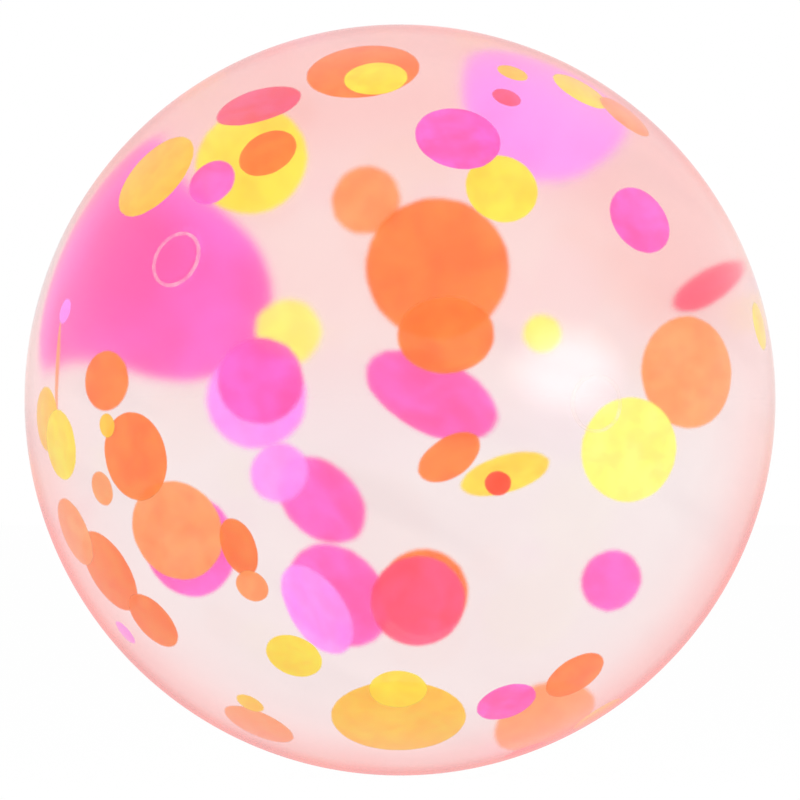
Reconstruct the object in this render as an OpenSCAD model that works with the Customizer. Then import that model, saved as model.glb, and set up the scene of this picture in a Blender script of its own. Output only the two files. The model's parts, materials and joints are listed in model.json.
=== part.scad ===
// Clear rubber bouncy ball with round confetti films inside it.
// The origin is the centre of the ball. The front is -Y, right is +X and up is +Z.

/* [Ball] */
// Diameter of the whole ball
ball_d = 60; // [50:1:100]
// Thickness of the clear layer moulded over the core
layer_t = 2.5; // [1.8:0.1:3]

/* [Confetti] */
// Thickness of one confetti film
film_t = 0.15; // [0.08:0.01:0.25]
// Clear rubber between films that lie over each other
film_gap = 0.15; // [0.1:0.01:0.25]

/* [Pin plugs] */
// Diameter of the clear plugs that fill the holes of the mould's locating pins
plug_d = 4.7; // [3:0.1:5.5]

/* [Hidden] */
$fn = 96;
core_r = ball_d / 2 - layer_t;

magenta_film = "#ff62b8";
pink_film = "#ff6aa4";
lilac_film = "#ff9cff";
orange_film = "#ff8646";
pale_orange_film = "#ffa468";
yellow_film = "#ffe24a";
lemon_film = "#ffff78";
amber_film = "#ffc84e";
red_film = "#ff5850";

// Confetti on the core's surface, under the outer layer: node, film, then how many degrees the disc
// is turned to the right of the front and raised, its width as a share of the ball's diameter, and
// how many other films lie under it.
skin_disc_shares = [
  ["magenta_disc_1", magenta_film, 13.5, 46.5, 0.112, 0],
  ["magenta_disc_2", magenta_film, 31.5, -56, 0.08, 0],
  ["orange_disc_1", orange_film, -14, 65, 0.146, 0],
  ["orange_disc_2", orange_film, -30, 43, 0.08, 0],
  ["orange_disc_3", orange_film, -48, -9, 0.116, 0],
  ["orange_disc_4", orange_film, -64.5, -28, 0.115, 0],
  ["orange_disc_5", orange_film, -57.5, -37, 0.086, 1],
  ["orange_disc_6", orange_film, 47, -49, 0.085, 0],
  ["salmon_edge_discs", pale_orange_film, -71, -21, 0.093, 1],
  ["salmon_edge_discs", pale_orange_film, -55, -62, 0.096, 0],
  ["salmon_edge_discs", pale_orange_film, 71, 50, 0.079, 1],
  ["yellow_disc_1", yellow_film, -8, 61.5, 0.083, 1],
  ["yellow_disc_2", yellow_film, -24.5, -45, 0.076, 0],
  ["yellow_disc_3", yellow_film, -0.5, -52.5, 0.076, 1],
  ["yellow_disc_4", yellow_film, -68.5, -7, 0.092, 1],
  ["amber_disc_1", amber_film, -58.5, 38, 0.128, 0],
  ["amber_disc_2", amber_film, -0.5, -61.5, 0.173, 0],
  ["small_amber_discs", amber_film, -53.5, -4, 0.033, 1],
  ["small_amber_discs", amber_film, -46, -55.5, 0.04, 1],
  ["small_amber_discs", amber_film, 42.5, 63, 0.043, 0],
  ["small_amber_discs", amber_film, -74, -3, 0.084, 0],
  ["small_orange_discs", pale_orange_film, -57, -14, 0.047, 1],
  ["small_orange_discs", pale_orange_film, -28.5, -31, 0.047, 0],
  ["small_pink_discs", pink_film, 31.5, 56, 0.04, 0],
  ["small_pink_discs", pink_film, 80, -70, 0.06, 0],
  ["small_lilac_discs", lilac_film, -73, -39, 0.038, 0],
  ["small_lilac_discs", lilac_film, -70, 14, 0.035, 0],
  ["yellow_edge_discs", yellow_film, 81.5, -57.5, 0.073, 0],
  ["yellow_edge_discs", yellow_film, 64, 57, 0.08, 0],
  ["yellow_edge_discs", yellow_film, 81.5, 11.5, 0.063, 0],
  ["yellow_edge_discs", yellow_film, -94, -14, 0.053, 0],
  ["magenta_discs_back", magenta_film, -166.4, 6.6, 0.093, 0],
  ["magenta_discs_back", magenta_film, 112, 38, 0.105, 0],
  ["magenta_discs_back", magenta_film, 138, -22, 0.085, 0],
  ["magenta_discs_back", magenta_film, -152, 42, 0.12, 0],
  ["magenta_discs_back", magenta_film, -118, -34, 0.09, 0],
  ["magenta_discs_back", magenta_film, 148, 62, 0.07, 0],
  ["magenta_discs_back", magenta_film, -170, -62, 0.09, 0],
  ["orange_discs_back", orange_film, 168, -24, 0.08, 0],
  ["orange_discs_back", orange_film, -178, 28, 0.075, 0],
  ["orange_discs_back", orange_film, 126, 12, 0.12, 0],
  ["orange_discs_back", orange_film, 158, -44, 0.075, 0],
  ["orange_discs_back", orange_film, -134, 8, 0.1, 0],
  ["orange_discs_back", orange_film, -156, -27, 0.13, 0],
  ["orange_discs_back", orange_film, 166, 44, 0.11, 0],
  ["orange_discs_back", orange_film, -114, 54, 0.08, 0],
  ["orange_discs_back", orange_film, 110, -48, 0.095, 0],
  ["orange_discs_back", orange_film, 150, 78, 0.09, 0],
  ["yellow_discs_back", yellow_film, 138, 32, 0.09, 0],
  ["yellow_discs_back", yellow_film, 118, -12, 0.07, 0],
  ["yellow_discs_back", yellow_film, -142, -8, 0.08, 0],
  ["yellow_discs_back", yellow_film, -128, 28, 0.115, 0],
  ["yellow_discs_back", yellow_film, -172, 62, 0.1, 0],
  ["yellow_discs_back", yellow_film, 140, -66, 0.12, 0],
  ["yellow_discs_back", yellow_film, -110, -10, 0.06, 0],
  ["yellow_discs_back", yellow_film, -128, -74, 0.09, 0],
  ["lilac_discs_back", lilac_film, 150, 3, 0.06, 0],
  ["lilac_discs_back", lilac_film, -158, 24, 0.07, 0],
  ["lilac_discs_back", lilac_film, -136, -52, 0.085, 0],
  ["lilac_discs_back", lilac_film, 176, -34, 0.06, 0],
  ["lilac_discs_back", lilac_film, 104, 18, 0.05, 0],
  ["lilac_discs_back", lilac_film, -124, 72, 0.07, 0],
  ["amber_discs_back", amber_film, -112, -58, 0.06, 0],
  ["amber_discs_back", amber_film, 128, 52, 0.07, 0],
  ["amber_discs_back", amber_film, 104, -28, 0.08, 0],
  ["amber_discs_back", amber_film, -108, 36, 0.06, 0],
  ["amber_discs_back", amber_film, 170, -80, 0.06, 0],
];

// Confetti inside the core: node, film, the disc's centre to the right, to the back and up as shares
// of the core's radius, its width as a share of the core's diameter, and how many degrees its face
// is turned to the right of the front and raised.
core_disc_shares = [
  ["deep_orange_disc_1", orange_film, 0.075, 0, 0.264, 0.149, 0, 0],
  ["deep_orange_disc_2", orange_film, 0.102, -0.27, 0.139, 0.112, 0, 40],
  ["deep_orange_disc_3", pale_orange_film, -0.064, 0.165, 0.372, 0.071, 10, -6],
  ["deep_orange_disc_4", pale_orange_film, 0.68, -0.22, 0.065, 0.136, 12, 4],
  ["deep_orange_disc_5", pale_orange_film, -0.564, -0.44, -0.33, 0.132, -12, -6],
  ["deep_orange_disc_6", orange_film, 0.05, -0.13, -0.41, 0.1, 6, -8],
  ["deep_orange_disc_7", orange_film, 0.12, -0.49, -0.14, 0.087, -34, 41],
  ["deep_orange_discs_left", orange_film, -0.766, -0.435, 0.05, 0.081, 0, 0],
  ["deep_orange_discs_left", orange_film, -0.425, -0.655, -0.39, 0.084, -62, -20],
  ["deep_salmon_discs", pale_orange_film, 0.296, 0.164, -0.652, 0.114, 0, 0],
  ["deep_salmon_discs", pale_orange_film, -0.8, -0.065, 0.08, 0.115, 59, 0],
  ["deep_magenta_disc_1", magenta_film, 0.055, 0.22, 0.005, 0.133, 36, 50],
  ["deep_magenta_disc_2", magenta_film, 0.425, 0.055, -0.363, 0.069, 8, -10],
  ["deep_magenta_disc_3", magenta_film, -0.46, -0.11, -0.315, 0.121, 10, -8],
  ["deep_magenta_disc_4", magenta_film, -0.143, 0.22, -0.183, 0.097, 28, 26],
  ["deep_magenta_disc_5", magenta_film, -0.125, 0.05, -0.388, 0.12, 26, 16],
  ["deep_magenta_disc_6", magenta_film, -0.278, 0, 0.038, 0.092, -8, 8],
  ["deep_magenta_disc_7", magenta_film, -0.485, -0.43, 0.562, 0.068, 0, 0],
  ["deep_magenta_disc_8", magenta_film, 0.645, -0.49, 0.484, 0.1, 30, 20],
  ["deep_pink_disc_1", pink_film, 0.04, -0.22, -0.448, 0.11, 0, -8],
  ["deep_pink_discs_edge", pink_film, -0.37, -0.335, 0.764, 0.12, -52, 75],
  ["deep_pink_discs_edge", pink_film, 0.487, 0.436, 0.175, 0.064, -30, 55],
  ["deep_lilac_disc_1", lilac_film, -0.251, 0.27, 0.001, 0.094, -10, 6],
  ["deep_lilac_disc_2", lilac_film, -0.23, 0.11, -0.137, 0.062, 10, -10],
  ["deep_lilac_disc_3", lilac_film, -0.178, -0.06, -0.44, 0.113, 45, 18],
  ["deep_lilac_disc_4", lilac_film, 0.176, 0.763, 0.366, 0.12, -13, -25],
  ["deep_yellow_disc_1", yellow_film, -0.29, 0.11, 0.47, 0.117, -12, 10],
  ["deep_yellow_disc_2", yellow_film, 0.262, -0.545, 0.545, 0.098, 10, 15],
  ["deep_yellow_disc_3", yellow_film, 0.23, -0.22, -0.164, 0.105, -22, 58],
  ["deep_lemon_disc_1", lemon_film, 0.556, -0.38, -0.12, 0.131, 12, -6],
  ["deep_lemon_disc_2", lemon_film, 0.256, 0.22, 0.12, 0.04, 10, 10],
  ["deep_lemon_disc_3", lemon_film, -0.179, 0.436, 0.109, 0.0595, -8, 6],
  ["small_red_disc", red_film, 0.25, -0.655, -0.214, 0.037, 10, 20],
];

// The pin plugs: node, and how many degrees each is turned to the right of the front and raised.
plug_places = [
  ["pin_plug_left", -40, 22],
  ["pin_plug_right", 31.5, -0.5],
  ["pin_plugs_back", 155, 26],
  ["pin_plugs_back", -166, -46],
];

// Each name in a table once, in the table's order.
function names_in(table) =
  [for (i = [0:len(table) - 1]) if (i == 0 || table[i][0] != table[i - 1][0]) table[i][0]];

// Turns what faces the front to where a piece lies on the ball.
module face_to(turn, rise) {
  rotate([0, 0, turn]) rotate([-rise, 0, 0]) children();
}

// A round bar that runs from inside the core out through the front of the ball.
module bar(width) {
  rotate([90, 0, 0]) translate([0, 0, core_r / 2]) cylinder(d = width, h = ball_d / 2);
}

// The height of a skin disc's inner face over the centre.
function inner_face(row) = core_r + film_gap + row[5] * (film_t + film_gap);

// A curved disc that follows the core's surface.
module skin_disc(row) {
  color(row[1]) face_to(row[2], row[3]) intersection() {
    difference() {
      sphere(r = inner_face(row) + film_t);
      sphere(r = inner_face(row));
    }
    bar(row[4] * ball_d);
  }
}

// A flat disc inside the core.
module core_disc(row) {
  color(row[1]) translate([row[2], row[3], row[4]] * core_r) face_to(row[6], row[7])
    rotate([90, 0, 0]) cylinder(r = row[5] * core_r, h = film_t, center = true);
}

// All discs of one node.
module confetti(name) {
  for (row = skin_disc_shares) if (row[0] == name) skin_disc(row);
  for (row = core_disc_shares) if (row[0] == name) core_disc(row);
}

module clear_core() {
  color("mistyrose", 0.25) difference() {
    sphere(r = core_r);
    for (row = core_disc_shares) core_disc(row);
  }
}

module outer_layer() {
  color("mistyrose", 0.25) difference() {
    sphere(d = ball_d);
    sphere(r = core_r);
    for (row = skin_disc_shares) skin_disc(row);
    for (row = plug_places) face_to(row[1], row[2]) bar(plug_d);
  }
}

// A clear plug from the core's surface to the ball's.
module pin_plugs(name) {
  for (row = plug_places) if (row[0] == name)
    color("mistyrose", 0.5) face_to(row[1], row[2]) intersection() {
      difference() {
        sphere(d = ball_d);
        sphere(r = core_r);
      }
      bar(plug_d);
    }
}

clear_core();
outer_layer();
for (name = names_in(plug_places)) pin_plugs(name);
for (name = names_in(skin_disc_shares)) confetti(name);
for (name = names_in(core_disc_shares)) confetti(name);
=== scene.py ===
"""Looks of the clear rubber bouncy ball: its rubber, pin plug seams, confetti films and stage."""
import json
import math

import bmesh
import bpy
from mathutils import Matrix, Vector, noise


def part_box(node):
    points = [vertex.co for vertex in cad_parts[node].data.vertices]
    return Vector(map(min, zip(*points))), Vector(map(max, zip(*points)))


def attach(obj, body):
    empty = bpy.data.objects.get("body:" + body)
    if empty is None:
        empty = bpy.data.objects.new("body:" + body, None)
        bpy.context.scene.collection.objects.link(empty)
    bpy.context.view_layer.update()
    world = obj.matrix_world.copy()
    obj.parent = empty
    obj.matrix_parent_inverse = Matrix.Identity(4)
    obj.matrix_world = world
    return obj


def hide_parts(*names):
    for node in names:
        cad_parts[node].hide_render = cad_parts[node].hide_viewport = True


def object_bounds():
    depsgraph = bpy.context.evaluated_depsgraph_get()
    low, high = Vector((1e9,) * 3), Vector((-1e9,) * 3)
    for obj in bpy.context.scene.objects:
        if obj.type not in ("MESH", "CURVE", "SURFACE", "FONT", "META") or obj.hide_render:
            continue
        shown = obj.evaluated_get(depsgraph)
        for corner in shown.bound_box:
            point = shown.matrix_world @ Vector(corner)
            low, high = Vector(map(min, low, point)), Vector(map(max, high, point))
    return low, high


bl_info = {
    "name": "Confetti Bouncy Ball",
    "version": (1, 0, 0),
    "blender": (4, 5, 0),
    "location": "View3D > Sidebar > Ball",
    "description": "Builds a bouncy ball's clear rubber, plug seams and confetti on its CAD frame",
    "category": "Object",
}

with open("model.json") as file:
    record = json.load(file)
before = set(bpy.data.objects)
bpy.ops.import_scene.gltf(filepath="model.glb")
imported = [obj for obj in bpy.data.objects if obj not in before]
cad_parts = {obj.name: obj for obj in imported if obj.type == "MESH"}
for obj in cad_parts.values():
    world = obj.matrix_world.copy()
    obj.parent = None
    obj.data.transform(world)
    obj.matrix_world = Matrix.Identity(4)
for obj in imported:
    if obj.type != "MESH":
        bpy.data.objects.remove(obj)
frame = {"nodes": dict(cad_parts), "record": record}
CAD_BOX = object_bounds()
BALL_LOW, BALL_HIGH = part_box("outer_layer")
BALL_R = (BALL_HIGH[0] - BALL_LOW[0]) / 2
CORE_LOW, CORE_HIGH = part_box("clear_core")
CORE_R = (CORE_HIGH[0] - CORE_LOW[0]) / 2
MM = 0.001
WHITE = (1, 1, 1, 1)

# How many degrees each pin plug is turned to the right of the front and raised, as in the CAD
# model, by the name of the piece that shows its seam.
PLUG_PLACES = {
    "plug_seam_left": [(-40, 22)],
    "plug_seam_right": [(31.5, -0.5)],
    "plug_seams_back": [(155, 26), (-166, -46)],
}
PLUG_NODES = {
    "plug_seam_left": "pin_plug_left",
    "plug_seam_right": "pin_plug_right",
    "plug_seams_back": "pin_plugs_back",
}
# How far under the surface a seam's wall ends.
SEAM_INSET = 0.12 * MM
SEAM_SEGMENTS = 72
BALL_SUBDIVISIONS = 7
# How far to each side of a seam the ball's faces are made finer, in half widths of the groove.
FINE_BAND = 2.5

# Where the rubber's tints change over, from the first height to the second, in ball radii above
# the middle: on the far side from the lower tint to the upper one and where the top's painted
# reflection starts, and on the near side where the outline's painted reflection grows toward the
# bottom and toward the top.
RUBBER_HEIGHTS = {
    "upper": (-0.06, 0.12), "top_reflection": (0, 0.09), "low": (0.1, -0.45), "crown": (0.25, 0.7),
}
# The outline's painted reflection at the sides, and at the very top, as shares of that at the
# bottom.
SIDE_SHARE = 0.15
CROWN_SHARE = 0.6
# Where they change over by slant, 0 where the surface is seen straight on and 1 at the outline: on
# the far side the rim's tint and the top's, and on the near side the outline's two steps. All four
# are painted reflection at the ball's edge.
RUBBER_SLANTS = {
    "rim": (0.15, 0.27), "outward": (0.06, 0.165), "edge": (0.5, 0.9), "outer_reflection_mask": (0.74, 0.92),
}
# The deep red of the outline's outer step: a painted reflection.
OUTER_REFLECTION_TINT = (1.0, 0.12, 0.10, 1)
# Faint clouds in the rubber, on the far side and on the near side.
CLOUD_TINT, CLOUD_SIZE = (0.96, 0.88, 0.88, 1), 15 * MM
FLOW_TINT, FLOW_SIZE = (0.97, 0.95, 0.96, 1), 9 * MM
# The faint slanting flow marks: their tint, size, lean and the noise values over which they grow.
BAND_TINT = (0.91, 0.89, 0.90, 1)
BAND_SIZE = (26 * MM, 14 * MM, 5 * MM)
BAND_LEAN = math.radians(27)
BAND_ENDS = (0.5, 0.72)
# What the rubber does to the light that falls on the confetti.
LIGHT_TINT = (1.0, 0.99, 0.99, 1)

# A seam's two tints, the size of their patches, and how strongly each shows. The pale line is in
# part a faint haze and in part painted light, for the bright room that the groove bends in.
SEAM_HAZE_AND_LIGHT = (1.0, 0.86, 0.78, 1), (1.0, 0.70, 0.62, 1)
SEAM_PATCH = 1.2 * MM
SEAM_STRENGTHS = (0.22, 0.07)

# Each film's colour, its second tone, the size of the patches of that tone, and the share of the
# light that the film stops.
FILMS = {
    "magenta_film": ((1.0, 0.075, 0.43), (1.0, 0.125, 0.67), 3.5 * MM, 0.95),
    "pink_film": ((1.0, 0.10, 0.25), (1.0, 0.075, 0.16), 3 * MM, 0.94),
    "lilac_film": ((1.0, 0.27, 1.0), (1.0, 0.33, 1.0), 3 * MM, 0.93),
    "orange_film": ((1.0, 0.24, 0.028), (1.0, 0.18, 0.016), 3 * MM, 0.96),
    "pale_orange_film": ((1.0, 0.38, 0.12), (1.0, 0.31, 0.08), 3 * MM, 0.95),
    "yellow_film": ((1.0, 0.82, 0.045), (1.0, 0.73, 0.03), 3 * MM, 0.96),
    "lemon_film": ((1.0, 1.0, 0.20), (1.0, 0.98, 0.15), 3 * MM, 0.95),
    "amber_film": ((1.0, 0.62, 0.035), (1.0, 0.55, 0.02), 3 * MM, 0.96),
    "red_film": ((1.0, 0.07, 0.045), (1.0, 0.05, 0.03), 2 * MM, 0.95),
}
STREAK_TINT, STREAK_CONTRAST = (1.0, 0.85, 0.89, 1), 0.8
# The noise values over which one tone passes into the other.
PATCH_ENDS = (0.33, 0.70)

# How many times softer a film's edge gets from the first place to the second: by its distance from
# the ball's middle, and by how far back it lies, both in ball radii.
DEPTH_SOFTNESS = {"From_Min": 0.95, "From_Max": 0.45, "To_Min": 1, "To_Max": 1.3}
BACK_SOFTNESS = {"From_Min": -0.8, "From_Max": 0.7, "To_Min": 1, "To_Max": 2.2}
# How unevenly the edge fades, the size of that unevenness, and how far in from the rim it starts.
SWAY_SHARE = 0.35
SWAY_SIZE = 0.8 * MM
FADE_START = 0.08 * MM

# Half of a film's cross-section, from the middle of its upper face round its rim to that of its
# lower face: shares of its radius and of half its thickness.
FILM_PROFILE = (
    (0, 1), (0.25, 1), (0.5, 1), (0.7, 1), (0.84, 1), (0.93, 1), (0.985, 0.8), (1, 0),
    (0.985, -0.8), (0.93, -1), (0.84, -1), (0.7, -1), (0.5, -1), (0.25, -1), (0, -1),
)
FILM_STEPS = 60
# How far a film's rim strays from a circle, as a share of its radius, how closely its bulges follow
# each other, and how far apart films are before their bulges differ.
RIM_STRAY = 0.006
RIM_BULGES = 1.4
FILM_SPACING = 4 * MM
# The size of the crinkles in a film under the surface, and of the bends in one inside the core.
CRINKLE_SIZE = 2 * MM
WAVE_SIZE = 3.5 * MM
# Corners of the CAD mesh that lie closer than this are one, and faces belong to a disc's flat side
# where their normals agree at least this well.
SAME_PLACE = 0.002 * MM
SAME_WAY = 0.9

FLOOR_HALF_WIDTH = 6
# How far the floor is plain white where it is seen. The rest takes the light and the shadow.
FLOOR_GLOW = 0.95
# The soft box at the right, whose reflection is the pale glow there: its middle, its radius upward,
# how many times wider than high it is, and where its glow starts and is full.
SOFT_BOX_PLACE = (0.158, -0.135, 0.029)
SOFT_BOX_R = 0.057
SOFT_BOX_WIDENING = 1.6
SOFT_BOX_FADE = (0.056, 0.01)
# Each lamp's place, and its power as a share of the key light's.
LAMPS = {"key_lamp": ((-0.45, -0.6, 0.7), 1), "fill_lamp": ((0.6, -0.55, 0.1), 0.9)}
LAMP_SIZE = 0.7


class RubberSettings(bpy.types.PropertyGroup):
    """Sizes and colours of the clear rubber."""

    radius: bpy.props.FloatProperty(
        name="Ball Radius", description="Outer radius of the ball", default=BALL_R, unit="LENGTH")
    plug_radius: bpy.props.FloatProperty(
        name="Plug Radius", description="Radius of a pin plug", default=2.35 * MM, unit="LENGTH")
    seam_width: bpy.props.FloatProperty(
        name="Seam Width", description="Width of the seam round a plug",
        default=0.28 * MM, unit="LENGTH")
    seam_depth: bpy.props.FloatProperty(
        name="Seam Depth", description="How far the visible seam goes down",
        default=0.25 * MM, unit="LENGTH")
    groove_depth: bpy.props.FloatProperty(
        name="Groove Depth", description="Depth of the shallow groove over a seam",
        default=0.01 * MM, unit="LENGTH")
    groove_width: bpy.props.FloatProperty(
        name="Groove Width", description="Half the width of that groove",
        default=0.35 * MM, unit="LENGTH")
    upper: bpy.props.FloatVectorProperty(
        name="Upper Colour", description="Tint of the rubber in the ball's upper half",
        subtype="COLOR", size=4, min=0, max=1, default=(1.0, 0.52, 0.48, 1))
    lower: bpy.props.FloatVectorProperty(
        name="Lower Colour", description="Tint of the rubber in the ball's lower half",
        subtype="COLOR", size=4, min=0, max=1, default=(0.91, 0.725, 0.715, 1))
    # The top's tint shows where the top is seen slantwise: a painted reflection.
    top: bpy.props.FloatVectorProperty(
        name="Top Colour", description="Tint of the rubber near the ball's top",
        subtype="COLOR", size=4, min=0, max=1, default=(1.0, 0.34, 0.31, 1))
    # The rim's tint is a painted reflection of the confetti's colours inside the rubber's edge.
    rim: bpy.props.FloatVectorProperty(
        name="Rim Colour", description="Tint of the rubber that is seen slantwise",
        subtype="COLOR", size=4, min=0, max=1, default=(1.0, 0.52, 0.50, 1))
    # The outline's tint and its milky pink edge are painted reflection along the ball's outline.
    outline: bpy.props.FloatVectorProperty(
        name="Outline Colour", description="Tint of the rubber's very edge",
        subtype="COLOR", size=4, min=0, max=1, default=(1.0, 0.26, 0.25, 1))
    painted_edge_strength: bpy.props.FloatProperty(
        name="Edge Density", description="How far the rubber stops being clear at its very edge",
        default=0.5, min=0, max=1)
    shine: bpy.props.FloatProperty(
        name="Shine", description="Strength of the reflections on the surface",
        default=0.5, min=0, max=1)
    roughness: bpy.props.FloatProperty(
        name="Roughness", description="How much the rubber blurs what is inside it",
        default=0.08, min=0, max=1)
    ior: bpy.props.FloatProperty(
        name="Refractive Index", description="How strongly the clear rubber bends light",
        default=1.47, min=1, max=2)


class ConfettiSettings(bpy.types.PropertyGroup):
    """Edges, streaks and bends of the confetti films."""

    soft_edge: bpy.props.FloatProperty(
        name="Soft Edge", description="How far a film's colour fades out at its rim",
        default=0.2 * MM, unit="LENGTH")
    mottle: bpy.props.FloatProperty(
        name="Mottle Size", description="Size of the small streaks in a film's colour",
        default=1.4 * MM, unit="LENGTH")
    shade: bpy.props.FloatProperty(
        name="Shade", description="Share of its strength with which a film shades others",
        default=0.35, min=0, max=1)
    wave: bpy.props.FloatProperty(
        name="Wave", description="How far a film inside the core bends out of flat",
        default=0.15 * MM, unit="LENGTH")
    crinkle: bpy.props.FloatProperty(
        name="Crinkle", description="How far a film under the surface strays from its curve",
        default=0.02 * MM, unit="LENGTH")


class StageSettings(bpy.types.PropertyGroup):
    """Lights and camera."""

    distance: bpy.props.FloatProperty(
        name="Camera Distance", description="From the ball's centre to the camera",
        default=3.0, unit="LENGTH")
    fill: bpy.props.FloatProperty(
        name="Ball Share", description="Width of the ball as a share of the picture's width",
        default=0.939, min=0.1, max=1)
    key: bpy.props.FloatProperty(
        name="Key Light", description="Power of the large lamp", default=1.7, min=0, unit="POWER")
    world: bpy.props.FloatProperty(
        name="World Light", description="Strength of the light from all round",
        default=0.86, min=0)
    glow: bpy.props.FloatProperty(
        name="Soft Box", description="How bright the soft box shows in reflections",
        default=5.5, min=0)


# ---- Node helpers -------------------------------------------------------------------------------

def feed(tree, socket, value):
    """Links another node's output to an input, or writes a plain value on it."""
    if isinstance(value, bpy.types.NodeSocket):
        tree.links.new(value, socket)
    else:
        socket.default_value = value


def add(tree, kind, place=(0, 0), **values):
    """A node with its plain settings, and its inputs' values or links by name."""
    node = tree.nodes.new(kind)
    node.location = place
    for key, value in values.items():
        if hasattr(node, key):
            setattr(node, key, value)
        else:
            feed(tree, node.inputs[key.replace("_", " ")], value)
    return node


def maths(tree, operation, first, second, place):
    """The result of one sum."""
    node = add(tree, "ShaderNodeMath", place, operation=operation)
    feed(tree, node.inputs[0], first)
    feed(tree, node.inputs[1], second)
    return node.outputs[0]


def remap(tree, value, place, **ends):
    """A value stretched evenly from one range to another."""
    return add(tree, "ShaderNodeMapRange", place, Value=value, **ends).outputs[0]


def ease(tree, value, low, high, place, **ends):
    """0 to 1, or between other ends, passed through smoothly from the low value to the high one."""
    return remap(tree, value, place, interpolation_type="SMOOTHSTEP",
                 From_Min=low, From_Max=high, **ends)


def mix_colours(tree, share, first, second, place, blend="MIX"):
    """Two colours mixed by a share of the second."""
    node = add(tree, "ShaderNodeMix", place, data_type="RGBA", blend_type=blend)
    for number, value in ((0, share), (6, first), (7, second)):
        feed(tree, node.inputs[number], value)
    return node.outputs[2]


def mix_shaders(tree, share, first, second, place):
    """Two shaders mixed by a share of the second."""
    node = add(tree, "ShaderNodeMixShader", place)
    for number, value in enumerate((share, first, second)):
        feed(tree, node.inputs[number], value)
    return node.outputs[0]


def lighting_ray(tree, place):
    """1 for the rays that only carry light to other surfaces, and 0 for those that see."""
    way = add(tree, "ShaderNodeLightPath", place)
    return maths(tree, "MAXIMUM", way.outputs["Is Shadow Ray"], way.outputs["Is Diffuse Ray"],
                 (place[0] + 200, place[1]))


def seeing_ray(tree):
    """1 where the camera sees a surface, straight or in a reflection or through the rubber."""
    way = add(tree, "ShaderNodeLightPath", (-600, 300))
    seen = maths(tree, "MAXIMUM", way.outputs["Is Camera Ray"], way.outputs["Is Glossy Ray"],
                 (-400, 300))
    return maths(tree, "MAXIMUM", seen, way.outputs["Is Transmission Ray"], (-200, 300))


def group(name, inputs, outputs):
    """An empty shader node group with its sockets, and its input and output nodes."""
    tree = bpy.data.node_groups.new(name, "ShaderNodeTree")
    for direction, sockets in (("INPUT", inputs), ("OUTPUT", outputs)):
        for label, kind, default in sockets:
            socket = tree.interface.new_socket(label, in_out=direction, socket_type=kind)
            if default is not None:
                socket.default_value = default
    return tree, tree.nodes.new("NodeGroupInput"), tree.nodes.new("NodeGroupOutput")


def uneven_colour_group():
    """Two tones of one colour in soft patches, as in dyed film and cast rubber."""
    tree, start, end = group(
        "Uneven Colour",
        [("Colour", "NodeSocketColor", WHITE), ("Second Colour", "NodeSocketColor", WHITE),
         ("Patch Size", "NodeSocketFloat", 2 * MM), ("Contrast", "NodeSocketFloat", 0.5)],
        [("Colour", "NodeSocketColor", None), ("Mask", "NodeSocketFloat", None)])
    place = add(tree, "ShaderNodeTexCoord", (-800, 0)).outputs["Object"]
    scale = maths(tree, "DIVIDE", 1, start.outputs["Patch Size"], (-600, -200))
    patches = add(tree, "ShaderNodeTexNoise", (-400, 0), Vector=place, Scale=scale,
                  Detail=2.5, Roughness=0.55, Distortion=0.4)
    spread = ease(tree, patches.outputs[0], *PATCH_ENDS, (-200, 0))
    share = maths(tree, "MULTIPLY", spread, start.outputs["Contrast"], (0, 0))
    mixed = mix_colours(tree, share, start.outputs["Colour"], start.outputs["Second Colour"],
                        (200, 0))
    feed(tree, end.inputs["Colour"], mixed)
    feed(tree, end.inputs["Mask"], share)


def soft_edge_group():
    """How much of a film is left near its rim.

    It fades out unevenly, and further in the deeper and the further back the film lies.
    """
    tree, start, end = group(
        "Soft Edge",
        [("Ball Radius", "NodeSocketFloat", BALL_R), ("Softness", "NodeSocketFloat", 0.2 * MM)],
        [("Mask", "NodeSocketFloat", None)])
    radius = start.outputs["Ball Radius"]
    place = add(tree, "ShaderNodeTexCoord", (-900, 200)).outputs["Object"]
    reach = add(tree, "ShaderNodeVectorMath", (-700, 300), operation="LENGTH", Vector=place)
    reach_share = maths(tree, "DIVIDE", reach.outputs["Value"], radius, (-500, 300))
    deep = remap(tree, reach_share, (-300, 300), **DEPTH_SOFTNESS)
    split = add(tree, "ShaderNodeSeparateXYZ", (-700, 500), Vector=place)
    back_share = maths(tree, "DIVIDE", split.outputs["Y"], radius, (-500, 500))
    back = remap(tree, back_share, (-300, 600), **BACK_SOFTNESS)
    both = maths(tree, "MULTIPLY", deep, back, (-150, 500))
    width = maths(tree, "MULTIPLY", both, start.outputs["Softness"], (-100, 300))
    uneven = add(tree, "ShaderNodeTexNoise", (-700, -300), Vector=place,
                 Scale=1 / SWAY_SIZE, Detail=1.5)
    about_zero = maths(tree, "SUBTRACT", uneven.outputs[0], 0.5, (-500, -300))
    slight = maths(tree, "MULTIPLY", about_zero, SWAY_SHARE, (-400, -400))
    sway = maths(tree, "MULTIPLY", slight, width, (-300, -200))
    rim = add(tree, "ShaderNodeAttribute", (-700, -100), attribute_name="rim_distance")
    edge = maths(tree, "ADD", rim.outputs["Fac"], sway, (-100, -100))
    feed(tree, end.inputs["Mask"], ease(tree, edge, FADE_START, width, (200, 0)))


def make_node_groups():
    """The effects that several materials share."""
    for name, make in (("Uneven Colour", uneven_colour_group), ("Soft Edge", soft_edge_group)):
        if name not in bpy.data.node_groups:
            make()


def place_group(tree, name, place, **values):
    """A node group from this file, set in a material with its own values."""
    node = tree.nodes.new("ShaderNodeGroup")
    node.node_tree = bpy.data.node_groups[name]
    node.location = place
    for key, value in values.items():
        feed(tree, node.inputs[key.replace("_", " ")], value)
    return node


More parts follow.
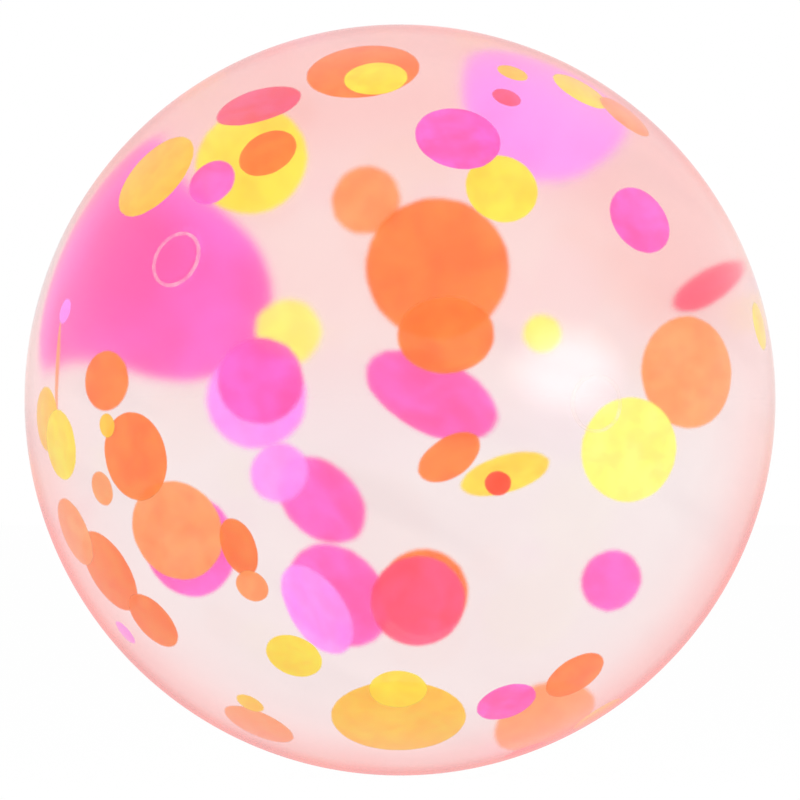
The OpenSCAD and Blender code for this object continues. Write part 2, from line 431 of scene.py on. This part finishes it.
def new_material(name):
    """A node material with nothing but its output."""
    material = bpy.data.materials.new(name)
    material.use_nodes = True
    tree = material.node_tree
    tree.nodes.clear()
    return material, tree, add(tree, "ShaderNodeOutputMaterial", (900, 0))


# ---- Materials ----------------------------------------------------------------------------------

def clear_rubber_material(settings):
    """Clear pink rubber with faint flow marks, pinker above.

    It is pinkest at its rim, top and outline, where the pink is painted reflection laid on by slant
    and height.
    """
    material, tree, end = new_material("clear_rubber")
    spot = add(tree, "ShaderNodeTexCoord", (-1500, 0)).outputs["Object"]
    height = add(tree, "ShaderNodeSeparateXYZ", (-1300, 0), Vector=spot).outputs["Z"]
    facing = add(tree, "ShaderNodeLayerWeight", (-1300, 400), Blend=0.5).outputs["Facing"]

    def risen(name, place, **ends):
        low, high = RUBBER_HEIGHTS[name]
        return ease(tree, height, low * BALL_R, high * BALL_R, place, **ends)

    def slanted(name, place):
        return ease(tree, facing, *RUBBER_SLANTS[name], place)

    far = mix_colours(tree, risen("upper", (-1000, 0)), settings.lower[:], settings.upper[:],
                      (-800, 0))
    clouds = place_group(tree, "Uneven Colour", (-800, -250), Colour=WHITE,
                         Second_Colour=CLOUD_TINT, Patch_Size=CLOUD_SIZE, Contrast=1)
    cloudy = mix_colours(tree, 1, far, clouds.outputs["Colour"], (-600, 0), "MULTIPLY")
    # Painted reflection: the far rim, seen slantwise, takes the confetti's pink.
    with_rim_reflection = mix_colours(tree, slanted("rim", (-800, 250)), cloudy, settings.rim[:], (-600, 250))
    # Painted reflection at the top, where it is seen slantwise.
    top_reflection = maths(tree, "MULTIPLY", risen("top_reflection", (-1000, 600)),
                    slanted("outward", (-1000, 800)), (-800, 700))
    far_side = mix_colours(tree, top_reflection, with_rim_reflection, settings.top[:], (-400, 100))

    # Painted reflection along the outline: full at the bottom, less at the top, faint at the sides.
    ends = maths(tree, "MAXIMUM", risen("low", (-1000, -500), To_Min=SIDE_SHARE),
                 risen("crown", (-1000, -350), To_Max=CROWN_SHARE), (-850, -450))
    flow = place_group(tree, "Uneven Colour", (-800, -850), Colour=WHITE,
                       Second_Colour=FLOW_TINT, Patch_Size=FLOW_SIZE, Contrast=1)
    lean = add(tree, "ShaderNodeMapping", (-1300, -1000), vector_type="TEXTURE",
               Vector=spot, Rotation=(0, BAND_LEAN, 0), Scale=BAND_SIZE)
    bands = add(tree, "ShaderNodeTexNoise", (-1100, -1000), Vector=lean.outputs[0],
                Scale=1, Detail=1.5)
    band = ease(tree, bands.outputs[0], *BAND_ENDS, (-900, -1100))
    banded = mix_colours(tree, band, flow.outputs["Colour"], BAND_TINT, (-650, -850))
    outline = maths(tree, "MULTIPLY", ends, slanted("edge", (-1000, -750)), (-800, -600))
    with_outline_reflection = mix_colours(tree, outline, banded, settings.outline[:], (-500, -600))
    outer_reflection_mask = maths(tree, "MULTIPLY", ends, slanted("outer_reflection_mask", (-1000, -600)), (-700, -700))
    near_side = mix_colours(tree, outer_reflection_mask, with_outline_reflection, OUTER_REFLECTION_TINT, (-350, -600))

    side = add(tree, "ShaderNodeNewGeometry", (-400, 400))
    tint = mix_colours(tree, side.outputs["Backfacing"], near_side, far_side, (-150, 0))
    ripple = add(tree, "ShaderNodeTexNoise", (-700, -1300), Vector=spot, Scale=130, Detail=1)
    bump = add(tree, "ShaderNodeBump", (-400, -1000), Strength=0.02, Distance=0.4 * MM,
               Height=ripple.outputs[0])
    rubber = add(tree, "ShaderNodeBsdfPrincipled", (100, 100), Base_Color=tint,
                 Roughness=settings.roughness, IOR=settings.ior, Transmission_Weight=1,
                 Specular_IOR_Level=settings.shine, Normal=bump.outputs["Normal"])
    # A diffuse pink at the very edge, as part of the painted reflection along the outline.
    diffuse_reflection_share = maths(tree, "MULTIPLY", outer_reflection_mask, settings.painted_edge_strength, (100, -300))
    painted_edge_shader = add(tree, "ShaderNodeBsdfDiffuse", (100, -450), Color=settings.outline[:])
    body = mix_shaders(tree, diffuse_reflection_share, rubber.outputs[0], painted_edge_shader.outputs[0], (500, 0))
    light = add(tree, "ShaderNodeBsdfTransparent", (350, -100), Color=LIGHT_TINT)
    finished = mix_shaders(tree, lighting_ray(tree, (100, 500)), body, light.outputs[0],
                           (650, 100))
    feed(tree, end.inputs["Surface"], finished)
    return material


def seam_haze_and_light_material():
    """The pale line where a plug meets the rubber round it, stronger in some places than others.

    It is in part a faint haze and in part painted light, for the bright room bent in at the seam.
    """
    material, tree, end = new_material("plug_seam")
    first, second = SEAM_HAZE_AND_LIGHT
    colour = place_group(tree, "Uneven Colour", (-500, 0), Colour=first, Second_Colour=second,
                         Patch_Size=SEAM_PATCH, Contrast=1)
    strong, weak = SEAM_STRENGTHS
    strength = remap(tree, colour.outputs["Mask"], (-300, -200), To_Min=strong, To_Max=weak)
    line = add(tree, "ShaderNodeBsdfPrincipled", (-100, 0), Base_Color=colour.outputs["Colour"],
               Roughness=0.5, Specular_IOR_Level=0.1, Alpha=strength)
    feed(tree, end.inputs["Surface"], line.outputs[0])
    return material


def film_material(slot, settings):
    """A dyed translucent film: patches of a second tone, small streaks and a fading rim.

    Only its front face shows. It shades what lies behind it less than it covers it, as light
    comes through a film from all round.
    """
    colour, second, patch, cover = FILMS[slot]
    material, tree, end = new_material(slot)
    dye = place_group(tree, "Uneven Colour", (-900, 100), Colour=(*colour, 1),
                      Second_Colour=(*second, 1), Patch_Size=patch, Contrast=1)
    streaks = place_group(tree, "Uneven Colour", (-900, -200), Colour=WHITE,
                          Second_Colour=STREAK_TINT, Patch_Size=settings.mottle,
                          Contrast=STREAK_CONTRAST)
    both = mix_colours(tree, 1, dye.outputs["Colour"], streaks.outputs["Colour"], (-600, 0),
                       "MULTIPLY")
    rim = place_group(tree, "Soft Edge", (-900, -500), Ball_Radius=BALL_R,
                      Softness=settings.soft_edge)
    side = add(tree, "ShaderNodeNewGeometry", (-1100, -700))
    front = remap(tree, side.outputs["Backfacing"], (-900, -700), To_Min=cover, To_Max=0)
    shade = remap(tree, lighting_ray(tree, (-1300, -900)), (-900, -900),
                  To_Min=1, To_Max=settings.shade)
    faced = maths(tree, "MULTIPLY", front, shade, (-750, -700))
    cover_here = maths(tree, "MULTIPLY", rim.outputs["Mask"], faced, (-600, -400))
    bump = add(tree, "ShaderNodeBump", (-400, -300), Strength=0.15, Distance=0.05 * MM,
               Height=streaks.outputs["Mask"])
    film = add(tree, "ShaderNodeBsdfPrincipled", (-100, 0), Base_Color=both, Roughness=0.55,
               Specular_IOR_Level=0.1, Alpha=cover_here, Normal=bump.outputs["Normal"])
    feed(tree, end.inputs["Surface"], film.outputs[0])
    return material


# ---- Pieces -------------------------------------------------------------------------------------

def direction(turn, rise):
    """Unit vector to a place on the ball, turned right from the front and raised, in degrees."""
    turn, rise = math.radians(turn), math.radians(rise)
    level = math.cos(rise)
    return Vector((math.sin(turn) * level, -math.cos(turn) * level, math.sin(rise)))


def new_object(name, shape, material):
    """Makes an object with one material of a bmesh, and frees the bmesh."""
    mesh = bpy.data.meshes.new(name)
    shape.to_mesh(mesh)
    shape.free()
    mesh.materials.append(material)
    made = bpy.data.objects.new(name, mesh)
    bpy.context.scene.collection.objects.link(made)
    return made


def finish_piece(name, shape, material, slot):
    """Makes a smooth object of a bmesh and sets it on the ball's body."""
    piece = new_object(name, shape, material)
    for face in piece.data.polygons:
        face.use_smooth = True
    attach(piece, "root")
    return piece


def islands(shape):
    """The faces of each separate solid in a bmesh."""
    for first in shape.faces:
        if first.tag:
            continue
        first.tag = True
        solid, queue = [], [first]
        while queue:
            face = queue.pop()
            solid.append(face)
            for edge in face.edges:
                for other in edge.link_faces:
                    if not other.tag:
                        other.tag = True
                        queue.append(other)
        yield solid


def measure_disc(solid):
    """One disc's middle, axis, radius and thickness, and whether it follows the ball's curve."""
    largest = max(solid, key=lambda face: face.calc_area())
    cap = [face for face in solid if face.normal.dot(largest.normal) > SAME_WAY]
    area = sum(face.calc_area() for face in cap)
    axis = sum((face.normal * face.calc_area() for face in cap), Vector()).normalized()
    points = [vert.co.copy() for face in solid for vert in face.verts]
    reaches = [point.length for point in points]
    curved = min(reaches) > CORE_R
    if curved:
        axis = axis if axis.dot(points[0]) > 0 else -axis
        middle = axis * (min(reaches) + max(reaches)) / 2
        thickness = max(reaches) - min(reaches)
    else:
        heights = [point.dot(axis) for point in points]
        thickness = max(heights) - min(heights)
        middle = sum((face.calc_center_median() * face.calc_area() for face in cap), Vector())
        middle /= area
        middle += axis * ((max(heights) + min(heights)) / 2 - middle.dot(axis))
    radius = max(((point - middle) - axis * (point - middle).dot(axis)).length for point in points)
    return middle, axis, radius, thickness, curved


def discs_in(node):
    """Every disc in a CAD node, measured."""
    copy = bmesh.new()
    copy.from_mesh(frame["nodes"][node].data)
    bmesh.ops.remove_doubles(copy, verts=copy.verts[:], dist=SAME_PLACE)
    for face in copy.faces:
        face.tag = False
    discs = [measure_disc(solid) for solid in islands(copy)]
    copy.free()
    return discs


def film_mesh(disc, settings):
    """Spins one film's cross-section, bends it slightly, and lays it where the CAD disc lies.

    It is wider than the CAD disc by half of the soft edge, so it shows as wide as the disc is.
    """
    middle, axis, radius, thickness, curved = disc
    radius += settings.soft_edge / 2
    shape = bmesh.new()
    rim_distance = shape.verts.layers.float.new("rim_distance")
    line = [shape.verts.new((share * radius, 0, side * thickness / 2))
            for share, side in FILM_PROFILE]
    edges = [shape.edges.new(pair) for pair in zip(line, line[1:])]
    bmesh.ops.spin(shape, geom=line + edges, cent=(0, 0, 0), axis=(0, 0, 1), angle=math.tau,
                   steps=FILM_STEPS, use_merge=True)
    bmesh.ops.remove_doubles(shape, verts=shape.verts[:], dist=SAME_PLACE / 2)
    bmesh.ops.recalc_face_normals(shape, faces=shape.faces[:])
    turn = Vector((0, 0, 1)).rotation_difference(axis).to_matrix()
    height = middle.length
    for vert in shape.verts:
        x, y, z = vert.co
        reach = math.hypot(x, y)
        vert[rim_distance] = radius - reach
        way = Vector((x, y, 0)).normalized() * RIM_BULGES + middle / FILM_SPACING
        out = 1 + RIM_STRAY * noise.noise(way)
        spot = middle + turn @ vert.co
        if curved:
            lift = settings.crinkle * noise.noise(spot / CRINKLE_SIZE)
            place = turn @ Vector((x * out, y * out, math.sqrt(height ** 2 - reach ** 2)))
            vert.co = place * (1 + (z + lift) / height)
        else:
            lift = settings.wave * noise.noise(spot / WAVE_SIZE)
            vert.co = middle + turn @ Vector((x * out, y * out, z + lift))
    mesh = bpy.data.meshes.new("film")
    shape.to_mesh(mesh)
    shape.free()
    return mesh


class BALL_OT_clear_rubber(bpy.types.Operator):
    """Builds the ball's clear rubber as one refracting body"""

    bl_idname = "ball.clear_rubber"
    bl_label = "Clear Rubber"

    def execute(self, context):
        settings = context.scene.ball_rubber
        make_node_groups()
        shape = bmesh.new()
        bmesh.ops.create_icosphere(shape, subdivisions=BALL_SUBDIVISIONS, radius=settings.radius)
        for places in PLUG_PLACES.values():
            for turn, rise in places:
                self.groove(shape, direction(turn, rise), settings)
        ball = finish_piece("clear_ball", shape, clear_rubber_material(settings), "clear_rubber")
        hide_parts("clear_core", "outer_layer")
        return {"FINISHED"}

    @staticmethod
    def groove(shape, out, settings):
        """Sinks a shallow ring into the surface over a plug's seam."""
        def off_ring(vert):
            return abs(settings.radius * vert.co.angle(out) - settings.plug_radius)

        band = FINE_BAND * settings.groove_width
        near = [edge for edge in shape.edges if all(off_ring(vert) < band for vert in edge.verts)]
        bmesh.ops.subdivide_edges(shape, edges=near, cuts=3)
        for vert in shape.verts:
            off = off_ring(vert)
            if off < band:
                share = max(0, 1 - off / settings.groove_width)
                dip = settings.groove_depth * share * share * (3 - 2 * share)
                vert.co = vert.co.normalized() * (settings.radius - dip)


class BALL_OT_plug_seams(bpy.types.Operator):
    """Builds the thin seam wall round each pin plug"""

    bl_idname = "ball.plug_seams"
    bl_label = "Plug Seams"

    def execute(self, context):
        settings = context.scene.ball_rubber
        make_node_groups()
        material = seam_haze_and_light_material()
        for name, places in PLUG_PLACES.items():
            seam = bmesh.new()
            for turn, rise in places:
                self.wall(seam, direction(turn, rise), settings)
            bmesh.ops.recalc_face_normals(seam, faces=seam.faces[:])
            bmesh.ops.solidify(seam, geom=seam.faces[:], thickness=settings.seam_width)
            piece = finish_piece(name, seam, material, "clear_rubber")
            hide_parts(PLUG_NODES[name])
        return {"FINISHED"}

    @staticmethod
    def wall(seam, out, settings):
        """Stands a ring's wall just under the surface, its axis pointing out of the ball."""
        top = math.sqrt(settings.radius ** 2 - settings.plug_radius ** 2) - SEAM_INSET
        ring = bmesh.ops.create_circle(seam, segments=SEAM_SEGMENTS, radius=settings.plug_radius)
        verts = ring["verts"]
        edges = list({edge for vert in verts for edge in vert.link_edges})
        walls = bmesh.ops.extrude_edge_only(seam, edges=edges)["geom"]
        upper = [part for part in walls if isinstance(part, bmesh.types.BMVert)]
        bmesh.ops.translate(seam, verts=upper, vec=(0, 0, settings.seam_depth))
        turn_up = Vector((0, 0, 1)).rotation_difference(out).to_matrix()
        bmesh.ops.rotate(seam, verts=verts + upper, cent=(0, 0, 0), matrix=turn_up)
        bmesh.ops.translate(seam, verts=verts + upper, vec=out * (top - settings.seam_depth))


class BALL_OT_confetti(bpy.types.Operator):
    """Builds every confetti film where its CAD disc lies, slightly bent, with its mottled dye"""

    bl_idname = "ball.confetti"
    bl_label = "Confetti"

    def execute(self, context):
        settings = context.scene.ball_confetti
        make_node_groups()
        made = {}
        for part in frame["record"]["subparts"]:
            node, slot = part["node"], part["material_slot"]
            if slot not in FILMS:
                continue
            if slot not in made:
                made[slot] = film_material(slot, settings)
            shape = bmesh.new()
            for disc in discs_in(node):
                mesh = film_mesh(disc, settings)
                shape.from_mesh(mesh)
                bpy.data.meshes.remove(mesh)
            film = finish_piece(node + "_film", shape, made[slot], slot)
            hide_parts(node)
        return {"FINISHED"}


class BALL_OT_stage(bpy.types.Operator):
    """Sets the white floor, the soft lights, the world and the camera"""

    bl_idname = "ball.stage"
    bl_label = "Stage"

    def execute(self, context):
        settings = context.scene.ball_stage
        scene = context.scene
        self.floor()
        self.world(scene, settings)
        self.soft_box(settings)
        self.lamps(settings)
        self.camera(scene, settings)
        scene.view_settings.view_transform = "Standard"
        scene.cycles.transparent_max_bounces = 32
        return {"FINISHED"}

    @staticmethod
    def floor():
        """A white floor that still takes the ball's shadow."""
        material, tree, end = new_material("pale_floor")
        paint = add(tree, "ShaderNodeBsdfPrincipled", (0, 0), Base_Color=WHITE, Roughness=0.9,
                    Specular_IOR_Level=0)
        white = add(tree, "ShaderNodeEmission", (0, -300), Color=WHITE, Strength=1)
        share = maths(tree, "MULTIPLY", seeing_ray(tree), FLOOR_GLOW, (0, 300))
        mixed = mix_shaders(tree, share, paint.outputs[0], white.outputs[0], (400, 0))
        feed(tree, end.inputs["Surface"], mixed)
        sheet = bmesh.new()
        bmesh.ops.create_grid(sheet, x_segments=1, y_segments=1, size=FLOOR_HALF_WIDTH)
        bmesh.ops.translate(sheet, verts=sheet.verts[:], vec=(0, 0, CAD_BOX[0][2]))
        new_object("floor", sheet, material)

    @staticmethod
    def world(scene, settings):
        """Even light from all round, and plain white wherever the world is seen."""
        world = bpy.data.worlds.new("white_room")
        world.use_nodes = True
        tree = world.node_tree
        tree.nodes.clear()
        room = add(tree, "ShaderNodeBackground", (0, 0), Color=WHITE, Strength=settings.world)
        white = add(tree, "ShaderNodeBackground", (0, -200), Color=WHITE, Strength=1)
        mixed = mix_shaders(tree, seeing_ray(tree), room.outputs[0], white.outputs[0], (300, 0))
        add(tree, "ShaderNodeOutputWorld", (600, 0), Surface=mixed)
        scene.world = world

    @staticmethod
    def soft_box(settings):
        """A glowing oval that only reflections show, brightest in its middle."""
        material, tree, end = new_material("soft_box")
        place = add(tree, "ShaderNodeTexCoord", (-1100, 0)).outputs["Object"]
        narrow = add(tree, "ShaderNodeVectorMath", (-900, 0), operation="MULTIPLY")
        feed(tree, narrow.inputs[0], place)
        feed(tree, narrow.inputs[1], (1 / SOFT_BOX_WIDENING, 1, 1))
        reach = add(tree, "ShaderNodeVectorMath", (-700, 0), operation="LENGTH",
                    Vector=narrow.outputs[0])
        bright = ease(tree, reach.outputs["Value"], *SOFT_BOX_FADE, (-500, 0), To_Max=settings.glow)
        glow = add(tree, "ShaderNodeEmission", (-200, 0), Color=WHITE, Strength=bright)
        clear = add(tree, "ShaderNodeBsdfTransparent", (-200, -200))
        both = add(tree, "ShaderNodeAddShader", (100, 0))
        feed(tree, both.inputs[0], glow.outputs[0])
        feed(tree, both.inputs[1], clear.outputs[0])
        feed(tree, end.inputs["Surface"], both.outputs[0])
        disc = bmesh.new()
        bmesh.ops.create_circle(disc, cap_ends=True, segments=64, radius=SOFT_BOX_R)
        bmesh.ops.scale(disc, verts=disc.verts[:], vec=(SOFT_BOX_WIDENING, 1, 1))
        box = new_object("soft_box", disc, material)
        box.location = SOFT_BOX_PLACE
        box.rotation_euler = (-Vector(SOFT_BOX_PLACE)).to_track_quat("-Z", "Y").to_euler()
        box.visible_camera = False
        box.visible_diffuse = False
        box.visible_transmission = False
        box.visible_shadow = False

    @staticmethod
    def lamps(settings):
        """Two round lamps that light the confetti and show in no reflection."""
        for name, (place, share) in LAMPS.items():
            light = bpy.data.lights.new(name, "AREA")
            light.shape = "DISK"
            light.size = LAMP_SIZE
            light.energy = settings.key * share
            lamp = bpy.data.objects.new(name, light)
            lamp.location = place
            lamp.rotation_euler = (-Vector(place)).to_track_quat("-Z", "Y").to_euler()
            lamp.visible_glossy = False
            lamp.visible_transmission = False
            bpy.context.scene.collection.objects.link(lamp)

    @staticmethod
    def camera(scene, settings):
        """Looks at the ball from the front, with a lens that makes it fill its share."""
        lens = bpy.data.cameras.new("camera")
        camera = bpy.data.objects.new("camera", lens)
        camera.location = (0, -settings.distance, 0)
        camera.rotation_euler = (math.radians(90), 0, 0)
        seen_r = BALL_R / math.sqrt(settings.distance ** 2 - BALL_R ** 2)
        lens.lens = lens.sensor_width / 2 * settings.fill / seen_r
        lens.clip_start = 0.5
        scene.collection.objects.link(camera)
        scene.camera = camera


PANEL_ROWS = (
    ("ball_rubber", ("ball.clear_rubber", "ball.plug_seams")),
    ("ball_confetti", ("ball.confetti",)),
    ("ball_stage", ("ball.stage",)),
)


class BALL_PT_panel(bpy.types.Panel):
    """Lists the ball's pieces and its stage"""

    bl_idname = "BALL_PT_panel"
    bl_label = "Bouncy Ball"
    bl_space_type = "VIEW_3D"
    bl_region_type = "UI"
    bl_category = "Ball"

    def draw(self, context):
        layout = self.layout
        for name, operators in PANEL_ROWS:
            settings = getattr(context.scene, name)
            box = layout.box()
            for setting in type(settings).__annotations__:
                box.prop(settings, setting)
            for operator in operators:
                box.operator(operator)


CLASSES = (
    RubberSettings, ConfettiSettings, StageSettings,
    BALL_OT_clear_rubber, BALL_OT_plug_seams, BALL_OT_confetti, BALL_OT_stage,
    BALL_PT_panel,
)


def register():
    for cls in CLASSES:
        bpy.utils.register_class(cls)
    bpy.types.Scene.ball_rubber = bpy.props.PointerProperty(type=RubberSettings)
    bpy.types.Scene.ball_confetti = bpy.props.PointerProperty(type=ConfettiSettings)
    bpy.types.Scene.ball_stage = bpy.props.PointerProperty(type=StageSettings)


def unregister():
    del bpy.types.Scene.ball_stage
    del bpy.types.Scene.ball_confetti
    del bpy.types.Scene.ball_rubber
    for cls in reversed(CLASSES):
        bpy.utils.unregister_class(cls)


def main():
    register()
    bpy.ops.ball.clear_rubber()
    bpy.ops.ball.plug_seams()
    bpy.ops.ball.confetti()
    bpy.ops.ball.stage()


if __name__ == "__main__":
    main()
